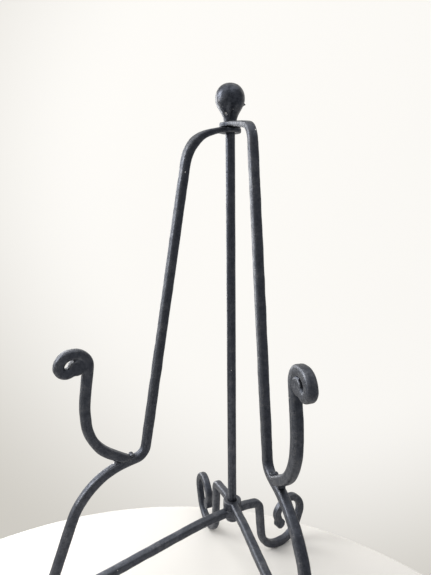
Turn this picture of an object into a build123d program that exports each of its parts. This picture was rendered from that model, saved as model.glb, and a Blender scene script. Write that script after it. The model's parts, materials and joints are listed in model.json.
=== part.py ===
"""Folding plate display stand in forged square bar.

Two leaves turn on one upright spindle, like the covers of a book. Each leaf is a flat figure: a leg
bar with a flattened eye at its top, a hook that holds the rim of a plate, and a base bar with an eye
round the spindle, a brace to the leg and a scroll foot behind. The right leaf lies on top of the
left one. A leaf is drawn in the XZ plane, with the spindle's axis at X = 0 and +X pointing away from
it, and is then turned about the spindle to where it stands. The stand faces -Y.
"""

from build123d import *
from copy import copy
from math import cos, radians, sin, tan
import os

# ---- driving dimensions (mm and degrees) ----

# bar stock, fits and gaps
BAR = 5.5                   # square bar of the legs and base bars
HOOK_BAR = 5.7              # square bar of the hooks
BAR_EDGE = 1.6              # radius of the bar's hammered long edges
SPINDLE_DIAMETER = 6.0
EYE_CLEARANCE = 0.08        # radial, between the spindle and every eye
LAYER_GAP = 0.4             # between pieces that turn on top of each other
SCROLL_GAP = 0.6            # between a scroll's tip and the bar it curls back to

# how the leaves stand
OPENING_ANGLE = 74.0        # between the two leaves
HUB_HEIGHT = 46.4           # left base bar's centre line at the spindle
TOP_EYE_HEIGHT = 302.5      # middle of the left leg's top eye

# eyes
TOP_EYE_DIAMETER = 13.2
TOP_EYE_THICKNESS = 2.8
HUB_EYE_DIAMETER = 12.6

# arm: flattened at the eye, full bar below its bend; the two are forged to nest in each other
ARM_REACH = {"left": 28.5, "right": 37.5}
ARM_BEND = {"left": 23.0, "right": 11.0}
ARM_LEVEL_REACH = 8.0       # the arm is level until it has cleared the other leaf's eye
ARM_LEVEL_BEND = 25.0
ARM_FALL = {"left": 14.5, "right": 9.5}     # degrees below level, from there to the bend
ARM_ROOT_WIDTH = 9.0        # of the flattened end, beside the eye
ARM_NARROW_SHARE = {"left": 0.9, "right": 1 / 3}    # part of the arm where it narrows to the bar
ARM_THICKEN_SHARE = {"left": 0.55, "right": 1.0}    # part of the arm where it thickens to the bar
ARM_SECTIONS = 16           # sections that shape the arm's taper
ARM_GROWTH = 1.5            # power by which the arm thickens
ARM_TAPER_DEPTH = 24.0      # how far below the shoulder the arm has become the full bar

# shelf, leg and front foot: reach from the spindle, and rise above the hub
SHELF_REACH = 64.0
SHELF_RISE = 63.5
SHELF_BEND = 8.0
KNEE_REACH = 100.4
KNEE_RISE = 59.4
KNEE_BEND = 42.0
LEG_SLOPE = 68.0            # degrees below level, from the knee to the ground

# hook: reach from the spindle, and rise above the shelf's corner
HOOK_ROOT_REACH = 74.0
HOOK_ROOT_DROP = 0.6
HOOK_TOE_REACH = 97.5
HOOK_TOE_RISE = 15.0
HOOK_TOE_BEND = 30.0
HOOK_WAIST_REACH = 98.6
HOOK_WAIST_RISE = 39.0
HOOK_WAIST_BEND = 60.0
HOOK_TOP_REACH = 93.8
HOOK_TOP_RISE = 70.8

# the scroll that ends each hook and each front foot, between centre lines
SCROLL_WIDTH = 17.2
SCROLL_HEIGHT = 11.8
SCROLL_BEND = 7.2
SCROLL_CURL = 3.8
SCROLL_TIP_ANGLE = 30.0     # degrees above or below level, back towards the bar
SNUB_RADIUS = 4.2           # of the round, thicker end of a hook's scroll
SNUB_WIDTH = 5.5

# base bar: level through the hub, then falling to the leg in front and to the rear corner
BRACE_LEVEL_REACH = 25.0
BRACE_LEVEL_BEND = 100.0
BRACE_DROP = {"left": 12.0, "right": 9.2}     # from the hub to where the brace meets the leg
HUB_LEVEL_REACH = 10.0
HUB_LEVEL_BEND = 20.0
REAR_REACH = {"left": 23.5, "right": 30.5}
REAR_DROP = 2.6
REAR_BEND = 6.0
REAR_SKEW = {"left": 0.0, "right": 5.0}     # degrees that the rear foot is bent out of its leaf
# the rear scroll foot's corners: reach beyond the rear corner, height above the ground line, bend
REAR_SCROLL = (
    (3.5, 0.0, 17.0),
    (32.5, 0.0, 16.0),
    (42.0, 25.0, 12.0),
    (29.0, 38.0, 9.0),
    (16.5, 25.5, 6.0),
)
REAR_TIP = (20.0, 16.0)
REAR_SNUB_RADIUS = 3.7      # of the rear scroll's round end
REAR_SNUB_WIDTH = 5.2

# spindle fittings
FINIAL_BALL = 18.0
FINIAL_HEIGHT = 22.4
FINIAL_NECK = 7.8
FINIAL_WAIST_ANGLE = 27.0   # degrees below the ball's equator, where the neck's curve starts
FINIAL_FLARE = 0.1          # outward lean of the neck's curve at its foot, per unit of height
FINIAL_THREAD = 11.0
PIN_DIAMETER = 1.4
PIN_RISE = 4.4
PIN_TURN = -10.0            # degrees from straight ahead
NUT_DIAMETER = 10.0
NUT_HEIGHT = 3.4
NUT_RIM = 1.2

WELD_RADIUS = 1.6
WELD_LENGTH = 4.4

# ---- values worked out from them ----
SIDES = ("left", "right")
TURN = {"left": -90.0 - OPENING_ANGLE / 2, "right": -90.0 + OPENING_ANGLE / 2}
GROUND_LINE = BAR / 2       # centre line of a bar that lies on the ground
EYE_BORE = SPINDLE_DIAMETER + 2 * EYE_CLEARANCE


def hub_height(side):
    """The right base bar lies on top of the left one."""
    return HUB_HEIGHT + (BAR + LAYER_GAP if side == "right" else 0.0)


def top_eye_height(side):
    """The right top eye lies on top of the left one."""
    return TOP_EYE_HEIGHT + (TOP_EYE_THICKNESS + LAYER_GAP if side == "right" else 0.0)


FINIAL_SEAT = top_eye_height("right") + TOP_EYE_THICKNESS / 2 + LAYER_GAP
NUT_SEAT = hub_height("left") - BAR / 2 - LAYER_GAP


def point(reach, height):
    """Point of a leaf, by its reach from the spindle and its height above the ground."""
    return Vector(reach, 0, height)


def section(path, position, width, thickness):
    """A bar's section, square across a path that lies in the leaf."""
    place = Plane(origin=path @ position, x_dir=(0, 1, 0), z_dir=path % position)
    edge = BAR_EDGE * min(width, thickness) / BAR
    return place * RectangleRounded(width, thickness, edge)


def bar_along(path, size=BAR):
    return sweep(section(path, 0, size, size), path=path)


def eye(diameter, thickness, height):
    return Pos(0, 0, height) * Cylinder(diameter / 2, thickness)


def bore(thickness, height):
    """Hole through an eye, a little longer than the eye is thick."""
    return Pos(0, 0, height) * Cylinder(EYE_BORE / 2, thickness + LAYER_GAP)


def scroll(corner, way, size=BAR):
    """Corners and bends of a scroll that starts at a corner of the bar.

    It turns away from the spindle and back to the bar: over the top for a way of 1, as on a hook,
    and along the ground for a way of -1, as on a foot.
    """
    outer = corner + point(SCROLL_WIDTH, 0)
    inner = outer + point(0, -way * SCROLL_HEIGHT)
    tip_run = SCROLL_WIDTH - size - SCROLL_GAP
    tip = inner + point(-tip_run, way * (tip_run - SCROLL_CURL) * tan(radians(SCROLL_TIP_ANGLE)))
    return [corner, outer, inner, tip], [SCROLL_BEND, SCROLL_BEND, SCROLL_CURL]


def snub(centre, radius, width):
    """Round, thicker end of a scroll."""
    return Pos(centre) * Rot(90, 0, 0) * Cylinder(radius, width)


def offset_line(start, end, distance):
    """Line beside a bar's centre line, as a point and a direction: upwards for +X and distance > 0."""
    along = (end - start).normalized()
    return start + along.cross(Vector(0, -1, 0)) * -distance, along


def crossing(one, other):
    """Where two lines of a leaf cross, each given as a point and a direction."""
    (start, along), (start_2, along_2) = one, other
    gap = start_2 - start
    share = (gap.X * along_2.Z - gap.Z * along_2.X) / (along.X * along_2.Z - along.Z * along_2.X)
    return start + along * share


def shelf_corner(side):
    return point(SHELF_REACH, hub_height(side) + SHELF_RISE)


def knee_corner(side):
    return point(KNEE_REACH, hub_height(side) + KNEE_RISE)


def hook_root(side):
    return point(HOOK_ROOT_REACH, shelf_corner(side).Z - HOOK_ROOT_DROP)


def hook_toe(side):
    return point(HOOK_TOE_REACH, shelf_corner(side).Z + HOOK_TOE_RISE)


def brace_end(side):
    """Where the base bar's centre line meets the leg's."""
    return leg_at(side, hub_height(side) - BRACE_DROP[side])


def leg_at(side, height):
    """Point of the sloping leg's centre line at a height."""
    knee = knee_corner(side)
    return point(knee.X + (knee.Z - height) / tan(radians(LEG_SLOPE)), height)


def make_leg(side):
    """Top eye, arm, shelf, leg and front foot, forged from one bar."""
    eye_height = top_eye_height(side)
    arm_fall = (ARM_REACH[side] - ARM_LEVEL_REACH) * tan(radians(ARM_FALL[side]))
    shoulder = point(ARM_REACH[side], eye_height - arm_fall)
    shelf = shelf_corner(side)
    knee = knee_corner(side)

    # the arm grows from the flat eye to the full bar: first it narrows, then it thickens
    down = (shelf - shoulder).normalized()
    arm_end = shoulder + down * (ARM_TAPER_DEPTH / -down.Z)
    level = point(ARM_LEVEL_REACH, eye_height)
    arm_path = FilletPolyline(
        point(0, eye_height), level, shoulder, arm_end, radius=[ARM_LEVEL_BEND, ARM_BEND[side]]
    )
    sections = []
    for step in range(1, ARM_SECTIONS + 1):
        share = step / ARM_SECTIONS
        width = BAR + (ARM_ROOT_WIDTH - BAR) * max(0, 1 - share / ARM_NARROW_SHARE[side])
        growth = min(1, share / ARM_THICKEN_SHARE[side]) ** ARM_GROWTH
        thickness = TOP_EYE_THICKNESS + (BAR - TOP_EYE_THICKNESS) * growth
        sections.append(section(arm_path, share, width, thickness))
    arm = loft(sections)

    foot, foot_bends = scroll(leg_at(side, GROUND_LINE), way=-1)
    leg_path = FilletPolyline(
        arm_end, shelf, knee, *foot, radius=[SHELF_BEND, KNEE_BEND] + foot_bends
    )
    top_eye = eye(TOP_EYE_DIAMETER, TOP_EYE_THICKNESS, eye_height)
    return top_eye + arm + bar_along(leg_path) - bore(TOP_EYE_THICKNESS, eye_height)


def make_hook(side, leg):
    """Bar from the shelf up in front of the plate's rim, with an outward scroll."""
    shelf = shelf_corner(side)
    top, bends = scroll(point(HOOK_TOP_REACH, shelf.Z + HOOK_TOP_RISE), way=1, size=HOOK_BAR)
    path = FilletPolyline(
        hook_root(side),
        hook_toe(side),
        point(HOOK_WAIST_REACH, shelf.Z + HOOK_WAIST_RISE),
        *top,
        radius=[HOOK_TOE_BEND, HOOK_WAIST_BEND] + bends,
    )
    inset = HOOK_BAR / 2 + SCROLL_GAP + SNUB_RADIUS
    end = snub(top[0] + point(inset, -inset), SNUB_RADIUS, SNUB_WIDTH)
    return bar_along(path, HOOK_BAR) + end - leg


def leg_block(side):
    """Block as thick as the sloping leg, and wider, that trims the brace flat to the leg's inner face."""
    outwards = point(sin(radians(LEG_SLOPE)), cos(radians(LEG_SLOPE)))
    place = Plane(origin=brace_end(side), x_dir=(0, 1, 0), z_dir=outwards)
    return place * Box(2 * BAR, 4 * BAR, BAR)


def make_base_bar(side):
    """Brace from the leg, eye round the spindle and scroll foot behind, forged from one bar."""
    hub = hub_height(side)
    middle = point(0, hub)
    brace_path = FilletPolyline(
        brace_end(side), point(BRACE_LEVEL_REACH, hub), middle, radius=[BRACE_LEVEL_BEND]
    )
    brace = bar_along(brace_path) - leg_block(side)
    rear = REAR_REACH[side]
    corners = [middle, point(-HUB_LEVEL_REACH, hub), point(-rear, hub - REAR_DROP)]
    corners += [point(-rear - out, GROUND_LINE + up) for out, up, _ in REAR_SCROLL]
    corners.append(point(-rear - REAR_TIP[0], GROUND_LINE + REAR_TIP[1]))
    bends = [HUB_LEVEL_BEND, REAR_BEND] + [bend for _, _, bend in REAR_SCROLL]
    rear_end = snub(corners[-1], REAR_SNUB_RADIUS, REAR_SNUB_WIDTH)
    rear_bar = bar_along(FilletPolyline(*corners, radius=bends)) + rear_end
    rear_foot = Rot(0, 0, REAR_SKEW[side]) * rear_bar
    return brace + rear_foot + eye(HUB_EYE_DIAMETER, BAR, hub) - bore(BAR, hub)


def weld(places, *bars):
    """Beads that fill the corners at two bars' joint, one bead at each place."""
    beads = [Pos(place) * Rot(90, 0, 0) * Cylinder(WELD_RADIUS, WELD_LENGTH) for place in places]
    for bar in bars:
        beads = [bead - bar for bead in beads]
    return beads


def make_hook_weld(side, leg, hook):
    """Beads under the hook, where it leaves the shelf, and behind its end."""
    shelf, knee = shelf_corner(side), knee_corner(side)
    root, toe = hook_root(side), hook_toe(side)
    shelf_top = offset_line(shelf, knee, BAR / 2)
    under_hook = offset_line(root, toe, -HOOK_BAR / 2)
    hook_end = (root, (toe - root).cross(Vector(0, 1, 0)))
    return weld([crossing(shelf_top, under_hook), crossing(shelf_top, hook_end)], leg, hook)


def make_brace_weld(side, leg, base_bar):
    """Beads above and below the brace, where it meets the leg."""
    end, level = brace_end(side), point(BRACE_LEVEL_REACH, hub_height(side))
    leg_inside = offset_line(knee_corner(side), leg_at(side, GROUND_LINE), -BAR / 2)
    faces = [offset_line(end, level, way * BAR / 2) for way in (1, -1)]
    return weld([crossing(leg_inside, face) for face in faces], leg, base_bar)


def make_leaf(side):
    leg = make_leg(side)
    hook = make_hook(side, leg)
    base_bar = make_base_bar(side)
    return {
        f"{side}_leg": [leg],
        f"{side}_hook": [hook],
        f"{side}_base_bar": [base_bar],
        f"{side}_hook_weld": make_hook_weld(side, leg, hook),
        f"{side}_brace_weld": make_brace_weld(side, leg, base_bar),
    }


def make_finial():
    """Pear-shaped ball: the neck's curve runs into the ball below its equator."""
    radius = FINIAL_BALL / 2
    centre = FINIAL_HEIGHT - radius
    angle = radians(FINIAL_WAIST_ANGLE)
    neck = (FINIAL_NECK / 2, 0)
    waist = (radius * cos(angle), centre - radius * sin(angle))
    outline = [
        Line((0, 0), neck),
        Spline(neck, waist, tangents=[(FINIAL_FLARE, 1), (sin(angle), cos(angle))]),
        ThreePointArc(waist, (radius, centre), (0, centre + radius)),
        Line((0, centre + radius), (0, 0)),
    ]
    pear = revolve(Plane.XZ * make_face(Curve() + outline), Axis.Z)
    thread = Pos(0, 0, FINIAL_THREAD / 2) * Cylinder(SPINDLE_DIAMETER / 2, FINIAL_THREAD)
    return Pos(0, 0, FINIAL_SEAT) * pear, Pos(0, 0, FINIAL_SEAT) * thread


def make_nut():
    """Domed nut under the lower base bar."""
    dome_rise = NUT_HEIGHT - NUT_RIM
    half = NUT_DIAMETER / 2
    dome_radius = (half**2 + dome_rise**2) / (2 * dome_rise)
    dome = Pos(0, 0, dome_radius - NUT_HEIGHT) * Sphere(dome_radius)
    blank = Pos(0, 0, -NUT_HEIGHT / 2) * Cylinder(half, NUT_HEIGHT)
    return Pos(0, 0, NUT_SEAT) * (blank & dome)


def make_spindle_parts():
    bottom = NUT_SEAT - NUT_RIM
    top = FINIAL_SEAT + FINIAL_THREAD
    spindle = Pos(0, 0, (bottom + top) / 2) * Cylinder(SPINDLE_DIAMETER / 2, top - bottom)
    pear, thread = make_finial()
    pin_axis = Plane(
        origin=(0, 0, FINIAL_SEAT + PIN_RISE),
        z_dir=(sin(radians(PIN_TURN)), -cos(radians(PIN_TURN)), 0),
    )
    pin_hole = pin_axis * Cylinder(PIN_DIAMETER / 2, FINIAL_BALL)
    return {
        "spindle": [spindle - pin_hole],
        "finial": [pear - thread - pin_hole],
        "finial_pin": [pin_hole & pear],
        "spindle_nut": [make_nut() - spindle],
    }


# ---- the whole stand, moved so that its origin is the middle of its footprint ----
nodes = make_spindle_parts()
for side in SIDES:
    for name, solids in make_leaf(side).items():
        nodes[name] = [Rot(0, 0, TURN[side]) * solid for solid in solids]

box = Compound(children=[copy(solid) for solids in nodes.values() for solid in solids]).bounding_box()
spindle_axis = Pos(-(box.min.X + box.max.X) / 2, -(box.min.Y + box.max.Y) / 2, -box.min.Z)

os.makedirs("parts", exist_ok=True)
for name, solids in nodes.items():
    export_step(Compound(children=[spindle_axis * solid for solid in solids]), f"parts/{name}.step")
print("box", box.size, "spindle axis at", spindle_axis.position)
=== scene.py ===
# %% [markdown]
# # A folding plate stand in blackened iron
#
# The stand is a smith's piece: two leaves of square bar turn on one upright spindle, like the covers
# of a book. Each leaf has a leg, a hook that holds the rim of a plate, and a base bar with a scroll
# foot. A pear-shaped finial closes the spindle at the top, and a dished nut closes it below.
#
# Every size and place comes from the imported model, which is loaded first and never moved. Its plain
# solids are then stood in for by hammered ones that lie in the same space.

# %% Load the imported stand
import json
import math

import bmesh
import bpy
from mathutils import Matrix, Vector

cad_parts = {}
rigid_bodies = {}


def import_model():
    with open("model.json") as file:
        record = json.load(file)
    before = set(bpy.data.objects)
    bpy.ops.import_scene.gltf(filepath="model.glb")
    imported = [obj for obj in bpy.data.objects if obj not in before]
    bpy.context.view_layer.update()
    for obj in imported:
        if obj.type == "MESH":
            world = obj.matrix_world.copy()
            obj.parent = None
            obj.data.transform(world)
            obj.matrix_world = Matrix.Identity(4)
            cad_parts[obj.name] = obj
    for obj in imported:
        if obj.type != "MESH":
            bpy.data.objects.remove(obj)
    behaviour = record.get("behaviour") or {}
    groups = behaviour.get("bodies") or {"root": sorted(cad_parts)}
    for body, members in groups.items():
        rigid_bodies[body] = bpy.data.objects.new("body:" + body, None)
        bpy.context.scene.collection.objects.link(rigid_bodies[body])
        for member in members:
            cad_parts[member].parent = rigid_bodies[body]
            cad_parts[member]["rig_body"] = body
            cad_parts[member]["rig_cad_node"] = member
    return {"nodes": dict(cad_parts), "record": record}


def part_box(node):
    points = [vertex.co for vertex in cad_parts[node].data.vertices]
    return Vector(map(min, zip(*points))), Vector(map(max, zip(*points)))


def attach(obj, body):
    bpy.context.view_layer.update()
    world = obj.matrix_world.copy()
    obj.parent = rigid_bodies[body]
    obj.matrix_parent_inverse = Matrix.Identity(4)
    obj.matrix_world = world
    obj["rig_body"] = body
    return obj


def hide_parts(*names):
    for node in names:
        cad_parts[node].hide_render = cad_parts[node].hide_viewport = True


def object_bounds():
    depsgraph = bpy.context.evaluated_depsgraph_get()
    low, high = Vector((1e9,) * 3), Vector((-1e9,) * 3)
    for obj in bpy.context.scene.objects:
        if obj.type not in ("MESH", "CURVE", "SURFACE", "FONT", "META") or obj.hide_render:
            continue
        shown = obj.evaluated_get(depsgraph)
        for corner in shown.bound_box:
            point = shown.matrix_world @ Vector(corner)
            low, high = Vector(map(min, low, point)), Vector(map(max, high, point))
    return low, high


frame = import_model()
cad_low, cad_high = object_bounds()
bpy.ops.object.select_all(action="DESELECT")

MM = 0.001
spindle_low, spindle_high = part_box("spindle")
SPINDLE_AXIS = (spindle_low + spindle_high) / 2
SPINDLE_AXIS.z = 0.0
bodies = frame["record"]["behaviour"]["bodies"]
BODY_OF = {node: body for body, members in bodies.items() for node in members}
print(len(BODY_OF), "nodes, stand", [round(side / MM, 1) for side in cad_high - cad_low], "mm")

# %% [markdown]
# ## Camera
#
# The view is a close one, from a little above the middle of the stand and from its right, with a
# wide lens. So the top eyes are seen from just below, and the feet from well above. The camera is
# placed round the spindle, because that is the one line in the stand that everything turns on.

# %% Camera
LENS = 29.35                 # mm, for a 36 mm frame
VIEW_DISTANCE = 296.2 * MM   # from the spindle, along the table
VIEW_HEIGHT = 261.7 * MM
VIEW_SIDE = 19.1             # degrees round the spindle, from straight in front to the right
AIM_LEFT = 1.93              # degrees that the camera looks past the spindle
AIM_DOWN = 10.6
ROLL = -0.66

side = math.radians(VIEW_SIDE)
view_place = SPINDLE_AXIS + Vector((math.sin(side), -math.cos(side), 0)) * VIEW_DISTANCE
view_place.z = VIEW_HEIGHT
view_turn = (
    Matrix.Rotation(math.radians(VIEW_SIDE + AIM_LEFT), 3, "Z")
    @ Matrix.Rotation(math.radians(90 - AIM_DOWN), 3, "X")
    @ Matrix.Rotation(math.radians(ROLL), 3, "Z")
)
bpy.ops.object.camera_add(location=view_place, rotation=view_turn.to_euler())
camera = bpy.context.object
camera.data.lens = LENS
camera.data.clip_start = 10 * MM
bpy.context.scene.camera = camera
print("camera at", [round(part / MM) for part in view_place], "mm")

# %% [markdown]
# ## Shader maths
#
# A finish is mostly arithmetic on noise. Written node by node it is hard to read, so one small
# class wraps a socket and lets Python's own operators add the Math nodes. A second class holds a
# material in the making and adds every other node through one method.

# %% Amount and Finish
class Amount:
    """A value that changes over a surface. Operators on it add Math nodes to its finish."""

    def __init__(self, finish, socket):
        self.finish = finish
        self.socket = socket

    def math(self, operation, first, second=0.0):
        return self.finish.node("ShaderNodeMath", {"operation": operation}, {0: first, 1: second})

    def __add__(self, other):
        return self.math("ADD", self, other)

    def __sub__(self, other):
        return self.math("SUBTRACT", self, other)

    def __mul__(self, other):
        return self.math("MULTIPLY", self, other)

    def __rsub__(self, other):
        return self.math("SUBTRACT", other, self)

    __radd__ = __add__
    __rmul__ = __mul__

    def between(self, low, high):
        """0 below low, 1 above high and a soft step from one to the other."""
        settings = {"interpolation_type": "SMOOTHSTEP"}
        return self.finish.node("ShaderNodeMapRange", settings, {0: self, 1: low, 2: high})


class Finish:
    """A material in the making, with its pattern on the piece's own coordinates."""

    def __init__(self, name):
        self.material = bpy.data.materials.new(name)
        self.material.use_nodes = True
        self.tree = self.material.node_tree
        self.surface = self.tree.nodes["Principled BSDF"]
        self.place = self.node("ShaderNodeTexCoord", output="Object")

    def node(self, kind, settings=None, sockets=None, output=0):
        made = self.tree.nodes.new(kind)
        for name, value in (settings or {}).items():
            setattr(made, name, value)
        for name, value in (sockets or {}).items():
            self.join(made.inputs[name], value)
        return Amount(self, made.outputs[output])

    def join(self, target, value):
        if isinstance(value, Amount):
            self.tree.links.new(value.socket, target)
        else:
            target.default_value = value

    def noise(self, size, detail=2.0, roughness=0.5, place=None):
        """Soft noise whose lumps are about this size, in metres."""
        sockets = {"Scale": 1 / size, "Detail": detail, "Roughness": roughness}
        sockets["Vector"] = place or self.place
        return self.node("ShaderNodeTexNoise", {}, sockets)

    def mix(self, share, first, second):
        """From the first colour to the second, as the share goes from 0 to 1."""
        sockets = {0: share, 6: first, 7: second}
        return self.node("ShaderNodeMix", {"data_type": "RGBA"}, sockets, output=2)

    def shine(self, **sockets):
        for name, value in sockets.items():
            self.join(self.surface.inputs[name.replace("_", " ").title()], value)

    def relief(self, height, depth):
        """Bump from a height between 0 and 1, whose full step is this deep in metres."""
        sockets = {"Height": height, "Distance": depth, "Strength": 1.0}
        self.join(self.surface.inputs["Normal"], self.node("ShaderNodeBump", {}, sockets))

# %% [markdown]
# ## Table, wall and light
#
# The stand is on a round white table in front of a plain warm white wall. The wall is lit from
# outside the scene, so it glows by itself, a little less at its edges. One broad window light comes
# from the left and above, and a second one from the left and behind. They graze the bars, so that
# each one shows a light upper or left facet and a dark front. A wide soft ceiling light and the
# room fill the rest.

# %% Table and wall
TABLE_RADIUS = 256 * MM
TABLE_OFFSET = Vector((20, -189, 0)) * MM      # from the spindle to the table's middle
TABLE_THICKNESS = 18 * MM
TABLE_SIDES = 160
TABLE_ROUNDING = 4 * MM
TABLE_WHITE = (0.70, 0.68, 0.645, 1)
WALL_DISTANCE = 0.95                # metres from the spindle, straight away from the viewer
WALL_SIZE = 5
WALL_PAINT = (0.10, 0.10, 0.095, 1)
WALL_LIGHT = (0.95, 0.93, 0.895, 1)
WALL_SHADE = (0.60, 0.575, 0.525, 1)
WALL_GLOW = 0.93
WALL_BRIGHT_PLACE = (0.3, 0.3, 0)   # on the wall, from its middle
WALL_FADE = (0.6, 1.4)              # metres from the bright place, where the shade starts and ends
CLOUD_SIZE = 0.25
CLOUD_SHADE = 0.97


def plain_paint(name, colour, roughness):
    """One colour, with a faint cloudiness."""
    paint = Finish(name)
    shaded = [part * CLOUD_SHADE for part in colour[:3]] + [1]
    paint.shine(
        base_color=paint.mix(paint.noise(CLOUD_SIZE), colour, shaded),
        roughness=roughness,
    )
    return paint


bpy.ops.mesh.primitive_cylinder_add(
    vertices=TABLE_SIDES,
    radius=TABLE_RADIUS,
    depth=TABLE_THICKNESS,
    location=SPINDLE_AXIS + TABLE_OFFSET - Vector((0, 0, TABLE_THICKNESS / 2)),
)
table = bpy.context.object
table.name = "table_top"
rounding = table.modifiers.new("rounding", "BEVEL")
rounding.width = TABLE_ROUNDING
rounding.segments = 4
bpy.ops.object.modifier_apply(modifier=rounding.name)
bpy.ops.object.shade_smooth_by_angle(angle=math.radians(40))
table.data.materials.append(plain_paint("table paint", TABLE_WHITE, 0.5).material)

away = view_turn @ Vector((0, 0, -1))
away.z = 0
bpy.ops.mesh.primitive_plane_add(
    size=WALL_SIZE,
    location=SPINDLE_AXIS + away.normalized() * WALL_DISTANCE,
    rotation=(math.radians(90), 0, math.radians(VIEW_SIDE + AIM_LEFT)),
)
wall = bpy.context.object
wall.name = "wall"
wall_paint = plain_paint("wall paint", WALL_PAINT, 0.9)
ends = {0: wall_paint.place, 1: WALL_BRIGHT_PLACE}
far = wall_paint.node("ShaderNodeVectorMath", {"operation": "DISTANCE"}, ends, output=1)
wall_paint.shine(
    emission_color=wall_paint.mix(far.between(*WALL_FADE), WALL_LIGHT, WALL_SHADE),
    emission_strength=WALL_GLOW,
)
wall.data.materials.append(wall_paint.material)

# %% Light
ROOM_LIGHT = 0.38
ROOM_COLOUR = (0.96, 0.97, 1.0, 1)
LAMPS = (   # name, place from the stand's middle in metres, width and height, and glow
    ("window", (-0.9, -0.3, 0.5), (0.6, 0.7), 9),
    ("side window", (-0.7, 0.4, 0.1), (0.35, 0.7), 5),
    ("ceiling", (0, -0.1, 1.3), (1.8, 1.8), 1.1),
)


def area_light(name, place, aim, size, glow):
    """glow is how bright the lamp itself looks, so its energy grows with its area."""
    turn = (aim - place).to_track_quat("-Z", "Y").to_euler()
    bpy.ops.object.light_add(type="AREA", location=place, rotation=turn)
    lamp = bpy.context.object
    lamp.name = name
    lamp.data.shape = "RECTANGLE"
    lamp.data.size, lamp.data.size_y = size
    lamp.data.energy = glow * math.pi * size[0] * size[1]
    lamp.visible_camera = False


stand_middle = SPINDLE_AXIS + Vector((0, 0, cad_high.z / 2))
for name, place, size, glow in LAMPS:
    area_light(name, stand_middle + Vector(place), stand_middle, size, glow)

world = bpy.data.worlds.new("room")
world.use_nodes = True
room = world.node_tree.nodes["Background"]
room.inputs["Color"].default_value = ROOM_COLOUR
room.inputs["Strength"].default_value = ROOM_LIGHT
bpy.context.scene.world = world
bpy.context.scene.view_settings.view_transform = "Standard"

# %% [markdown]
# ## Blackened iron
#
# Hot iron is quenched in oil and waxed. That leaves a thin blue-black skin, which is nearly a metal
# to the light: it mirrors the room dimly and has little colour of its own. Where hands and plates
# rub it, on the edges, the skin is thinner and the grey iron shows through. Forge scale gives it
# fine grain, and here and there a chip has come off and left a bright speck.
#
# The same recipe makes each iron, with its own darkness, grain and wear.

# %% Iron finishes
SKIN = (0.070, 0.076, 0.092, 1)
DULL = (0.034, 0.038, 0.048, 1)
WORN = (0.300, 0.300, 0.305, 1)
CHIP = (0.80, 0.78, 0.75, 1)
METAL = 0.92


def blackened_iron(name, rub=0.5, gloss=0.5, grain=0.6 * MM, depth=0.12 * MM, dull=0.6):
    """rub is how much of the skin is worn, gloss its smoothness, grain and depth its scale."""
    iron = Finish(name)
    mottle = iron.noise(7 * MM, detail=4, roughness=0.6)
    patch = iron.noise(2.2 * MM, detail=5, roughness=0.65)
    scale = iron.noise(grain, detail=4, roughness=0.7)
    edge = iron.node("ShaderNodeNewGeometry", output="Pointiness").between(0.503, 0.535)
    soot = (patch * 0.6 + scale * 0.4).between(0.46, 0.56) * dull
    thin = (edge * 0.9 + mottle.between(0.45, 0.7) * 0.6) * scale.between(0.38, 0.62)
    chip = iron.noise(1.9 * MM, detail=1).between(0.80, 0.815)
    colour = iron.mix(thin * rub, iron.mix(soot, SKIN, DULL), WORN)
    iron.shine(
        base_color=iron.mix(chip, colour, CHIP),
        metallic=METAL,
        roughness=(1 - gloss) * 0.8 + (patch - 0.5) * 0.25 + soot * 0.12,
    )
    iron.relief(scale * 0.45 + patch * 0.55 - chip * 0.3, depth)
    return iron.material


bar_iron = blackened_iron("hammered iron", rub=0.4, gloss=0.42, dull=0.5)
rod_iron = blackened_iron("drawn rod iron", rub=0.4, gloss=0.55, grain=0.4 * MM, depth=0.06 * MM)
finial_iron = blackened_iron("dressed casting iron", rub=0.7, gloss=0.55, depth=0.10 * MM, dull=0.85)
bead_iron = blackened_iron("weld bead iron", rub=0.3, gloss=0.4, grain=0.45 * MM, dull=0.8)

# %% [markdown]
# The pin's end is bare steel, filed flush and rubbed bright, with fine file lines across it.

# %% Bare steel finish
STEEL_DARK = (0.36, 0.35, 0.34, 1)
STEEL_BRIGHT = (0.66, 0.65, 0.63, 1)

steel = Finish("filed steel")
stretch = steel.node("ShaderNodeMapping", {}, {"Vector": steel.place, "Scale": (1, 1, 9)})
lines = steel.noise(0.9 * MM, detail=3, place=stretch)
steel.shine(
    base_color=steel.mix(lines, STEEL_DARK, STEEL_BRIGHT),
    metallic=1.0,
    roughness=0.28 + lines * 0.2,
)
steel.relief(lines, 0.02 * MM)

# %% [markdown]
# ## Working on a piece
#
# These few helpers are the hand tools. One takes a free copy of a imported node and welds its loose
# triangles into one closed skin, because the node itself is never changed. One selects parts of a
# mesh by a test in edit mode. One adds a modifier and applies it at once, and the last one gives the
# finished piece its iron and fixes it to the body that it moves with.

# %% Hand tools
def select_only(piece):
    bpy.ops.object.select_all(action="DESELECT")
    piece.select_set(True)
    bpy.context.view_layer.objects.active = piece


def start_from(node, name):
    """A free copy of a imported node, as one closed skin."""
    select_only(frame["nodes"][node])
    bpy.ops.object.duplicate()
    piece = bpy.context.object
    bpy.ops.object.parent_clear(type="CLEAR_KEEP_TRANSFORM")
    piece.name = name
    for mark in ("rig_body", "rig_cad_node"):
        del piece[mark]
    bpy.ops.mesh.customdata_custom_splitnormals_clear()
    bpy.ops.object.mode_set(mode="EDIT")
    bpy.ops.mesh.select_all(action="SELECT")
    bpy.ops.mesh.remove_doubles(threshold=0.001 * MM)
    bpy.ops.object.mode_set(mode="OBJECT")
    return piece


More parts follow.
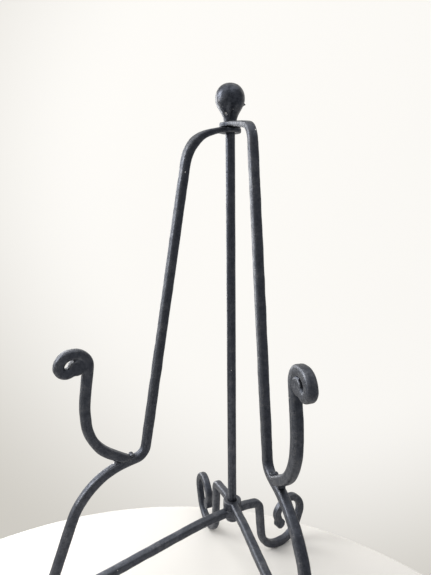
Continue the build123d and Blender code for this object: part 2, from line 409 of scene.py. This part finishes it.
def pick(piece, kind, test):
    """Selects only the parts that pass the test, in edit mode."""
    if piece.mode != "EDIT":
        select_only(piece)
        bpy.ops.object.mode_set(mode="EDIT")
    bpy.ops.mesh.select_mode(type=kind)
    bpy.ops.mesh.select_all(action="DESELECT")
    mesh = bmesh.from_edit_mesh(piece.data)
    parts = {"VERT": mesh.verts, "EDGE": mesh.edges, "FACE": mesh.faces}[kind]
    for part in parts:
        part.select_set(test(part))
    mesh.select_flush_mode()
    bmesh.update_edit_mesh(piece.data)


def work(piece, kind, **settings):
    """Adds a modifier and applies it."""
    select_only(piece)
    modifier = piece.modifiers.new(kind.lower(), kind)
    for name, value in settings.items():
        setattr(modifier, name, value)
    bpy.ops.object.modifier_apply(modifier=modifier.name)


def settle(piece, node, iron):
    """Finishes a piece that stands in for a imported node."""
    piece.data.materials.clear()
    piece.data.materials.append(iron)
    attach(piece, BODY_OF[node])
    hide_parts(node)
    print(piece.name, len(piece.data.polygons), "faces")

# %% [markdown]
# ## Hammered bars
#
# A smith draws a square bar out under the hammer. Each blow leaves a shallow dish, the faces wander
# a little from true, and the long edges are knocked round. The bars could be modelled blow by blow,
# but a fine skin of small quads that is pushed in by two patterns gives the same, all over and
# without seams: cells for the blows, and a slower cloud for the wander. Both push inwards as much as
# outwards, so that the bar keeps its size. The same skin lines the eyes, where it comes so close to
# the spindle that it grazes it in places. What hangs below the table's surface is filed off, so that
# the feet stand flat.

# %% Patterns of the hammer
def pattern(name, kind, size, **settings):
    """A pattern whose cells or lumps are about this size, for pushing a skin in and out."""
    made = bpy.data.textures.new(name, kind)
    made.noise_scale = size
    for setting, value in settings.items():
        setattr(made, setting, value)
    return made


blows = pattern("hammer blows", "VORONOI", 7.5 * MM, distance_metric="DISTANCE")
wander = pattern("wander of the bar", "CLOUDS", 16 * MM, noise_depth=1)
lumps = pattern("lumps of the weld", "CLOUDS", 1.8 * MM, noise_depth=2)


def forge(piece, skin_size, blow_depth, wander_depth):
    """Skins the piece with small quads and works it all over with the hammer."""
    work(piece, "REMESH", mode="VOXEL", voxel_size=skin_size, use_smooth_shade=True)
    local = {"texture_coords": "LOCAL", "direction": "NORMAL"}
    work(piece, "DISPLACE", texture=wander, strength=wander_depth, mid_level=0.5, **local)
    work(piece, "DISPLACE", texture=blows, strength=blow_depth, mid_level=0.5, **local)
    work(piece, "SMOOTH", factor=0.5, iterations=3)


def file_flat(piece):
    """Cuts the piece off at the table's surface and closes the cut."""
    pick(piece, "FACE", lambda face: True)
    bpy.ops.mesh.bisect(plane_no=(0, 0, 1), use_fill=True, clear_inner=True, threshold=0.001 * MM)
    bpy.ops.object.mode_set(mode="OBJECT")

# %% Legs, hooks and base bars
BAR_SKIN = 0.45 * MM
BLOW_DEPTH = 0.22 * MM
WANDER_DEPTH = 0.28 * MM

for leaf in ("left", "right"):
    for part in ("leg", "hook", "base_bar"):
        bar = start_from(f"{leaf}_{part}", f"forged_{leaf}_{part}")
        forge(bar, BAR_SKIN, BLOW_DEPTH, WANDER_DEPTH)
        if part != "hook":
            file_flat(bar)
        settle(bar, f"{leaf}_{part}", bar_iron)

# %% [markdown]
# ## Weld beads
#
# Where the hook leaves the shelf and where the brace meets the leg, a short bead fills the corner.
# A bead is laid in small lumps that run into each other, so its skin is finer and its cloud smaller.

# %% Beads
BEAD_SKIN = 0.25 * MM
BEAD_LUMP = 0.7 * MM

for leaf in ("left", "right"):
    for joint in ("hook_weld", "brace_weld"):
        bead = start_from(f"{leaf}_{joint}", f"bead_{leaf}_{joint}")
        work(bead, "REMESH", mode="VOXEL", voxel_size=BEAD_SKIN, use_smooth_shade=True)
        work(bead, "DISPLACE", texture=lumps, texture_coords="LOCAL", strength=BEAD_LUMP, mid_level=0.5)
        work(bead, "SMOOTH", factor=0.5, iterations=2)
        settle(bead, f"{leaf}_{joint}", bead_iron)

# %% [markdown]
# ## Spindle
#
# The spindle is drawn round rod, straighter and smoother than the bars, but not a perfect cylinder.
# It starts as a cylinder of the rod's size. Its long edges are divided into rings, its ends are
# chamfered, and a faint wander is all that the hammer adds.

# %% Rod
ROD_SIDES = 64
ROD_RINGS = 120
ROD_CHAMFER = 0.5 * MM
ROD_WANDER = 0.12 * MM

rod_length = spindle_high.z - spindle_low.z
bpy.ops.mesh.primitive_cylinder_add(
    vertices=ROD_SIDES,
    radius=(spindle_high.x - spindle_low.x) / 2,
    depth=rod_length,
    location=(spindle_low + spindle_high) / 2,
)
rod = bpy.context.object
rod.name = "spindle_rod"
bpy.ops.object.transform_apply(location=True, rotation=True, scale=True)
pick(rod, "EDGE", lambda edge: edge.calc_length() > rod_length / 2)
bpy.ops.mesh.subdivide(number_cuts=ROD_RINGS)
pick(rod, "EDGE", lambda edge: any(len(face.verts) == ROD_SIDES for face in edge.link_faces))
bpy.ops.mesh.bevel(offset=ROD_CHAMFER, segments=3)
bpy.ops.object.mode_set(mode="OBJECT")
work(rod, "DISPLACE", texture=wander, texture_coords="LOCAL", strength=ROD_WANDER, mid_level=0.8)
bpy.ops.object.shade_smooth_by_angle(angle=math.radians(35))
settle(rod, "spindle", rod_iron)

# %% [markdown]
# ## Finial
#
# The pear-shaped ball is a casting that was dressed with a file. It is nearly smooth, with shallow
# flats, and a nib of the casting's flash was left standing low on its right side. The nib is pulled
# out of the skin with proportional editing, which takes the neighbours along less and less.

# %% Ball
FINIAL_SKIN = 0.32 * MM
FINIAL_BLOW = 0.22 * MM
FINIAL_WANDER = 0.25 * MM
NIB_DROP = 3.6 * MM          # below the ball's middle
NIB_RISE = 1.1 * MM
NIB_RADIUS = 1.1 * MM

ball = start_from("finial", "pear_finial")
forge(ball, FINIAL_SKIN, FINIAL_BLOW, FINIAL_WANDER)
finial_low, finial_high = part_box("finial")
ball_radius = (finial_high.x - finial_low.x) / 2
sideways = view_turn @ Vector((1, 0, 0))
nib_way = Vector((sideways.x, sideways.y, 0)).normalized()
nib_reach = math.sqrt(ball_radius**2 - NIB_DROP**2)
nib_root = Vector((SPINDLE_AXIS.x, SPINDLE_AXIS.y, finial_high.z - ball_radius - NIB_DROP))
nib_root += nib_way * nib_reach
pick(ball, "VERT", lambda vert: (vert.co - nib_root).length < NIB_RADIUS / 3)
bpy.ops.transform.translate(
    value=nib_way * NIB_RISE,
    use_proportional_edit=True,
    proportional_edit_falloff="SHARP",
    proportional_size=NIB_RADIUS,
)
bpy.ops.object.mode_set(mode="OBJECT")
settle(ball, "finial", finial_iron)

# %% [markdown]
# ## Pin and nut
#
# A pin through the finial's neck holds it on the spindle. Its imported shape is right, so it only gets
# its steel. The nut under the hub is a low dome that was dished in the middle by the punch that
# closed it, so it is modelled: a disc, a bevelled rim, two insets and a push upwards.

# %% Pin
pin = frame["nodes"]["finial_pin"]
pin.data.materials.clear()
pin.data.materials.append(steel.material)

# %% Nut
NUT_SIDES = 48
NUT_ROUNDING = 1.5 * MM
NUT_EDGE = 0.25 * MM
DISH_RIM = 1.9 * MM
DISH_SLOPE = 0.5 * MM
DISH_DEPTH = 1.0 * MM

nut_low, nut_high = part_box("spindle_nut")
nut_radius = (nut_high.x - nut_low.x) / 2
bpy.ops.mesh.primitive_cylinder_add(
    vertices=NUT_SIDES,
    radius=nut_radius,
    depth=nut_high.z - nut_low.z,
    location=(nut_low + nut_high) / 2,
)
nut = bpy.context.object
nut.name = "dished_nut"
bpy.ops.object.transform_apply(location=True, rotation=True, scale=True)
pick(nut, "EDGE", lambda edge: all(abs(vert.co.z - nut_low.z) < 0.01 * MM for vert in edge.verts))
bpy.ops.mesh.bevel(offset=NUT_ROUNDING, segments=4)
pick(nut, "FACE", lambda face: face.normal.z < -0.99)
bpy.ops.mesh.inset(thickness=DISH_RIM - NUT_ROUNDING)
bpy.ops.mesh.inset(thickness=DISH_SLOPE)
bpy.ops.transform.translate(value=(0, 0, DISH_DEPTH))
bpy.ops.mesh.inset(thickness=DISH_SLOPE)
bpy.ops.object.mode_set(mode="OBJECT")
work(nut, "BEVEL", width=NUT_EDGE, segments=2, limit_method="ANGLE", angle_limit=math.radians(30))
work(nut, "SUBSURF", levels=2, render_levels=2)
bpy.ops.object.shade_smooth_by_angle(angle=math.radians(40))
settle(nut, "spindle_nut", rod_iron)
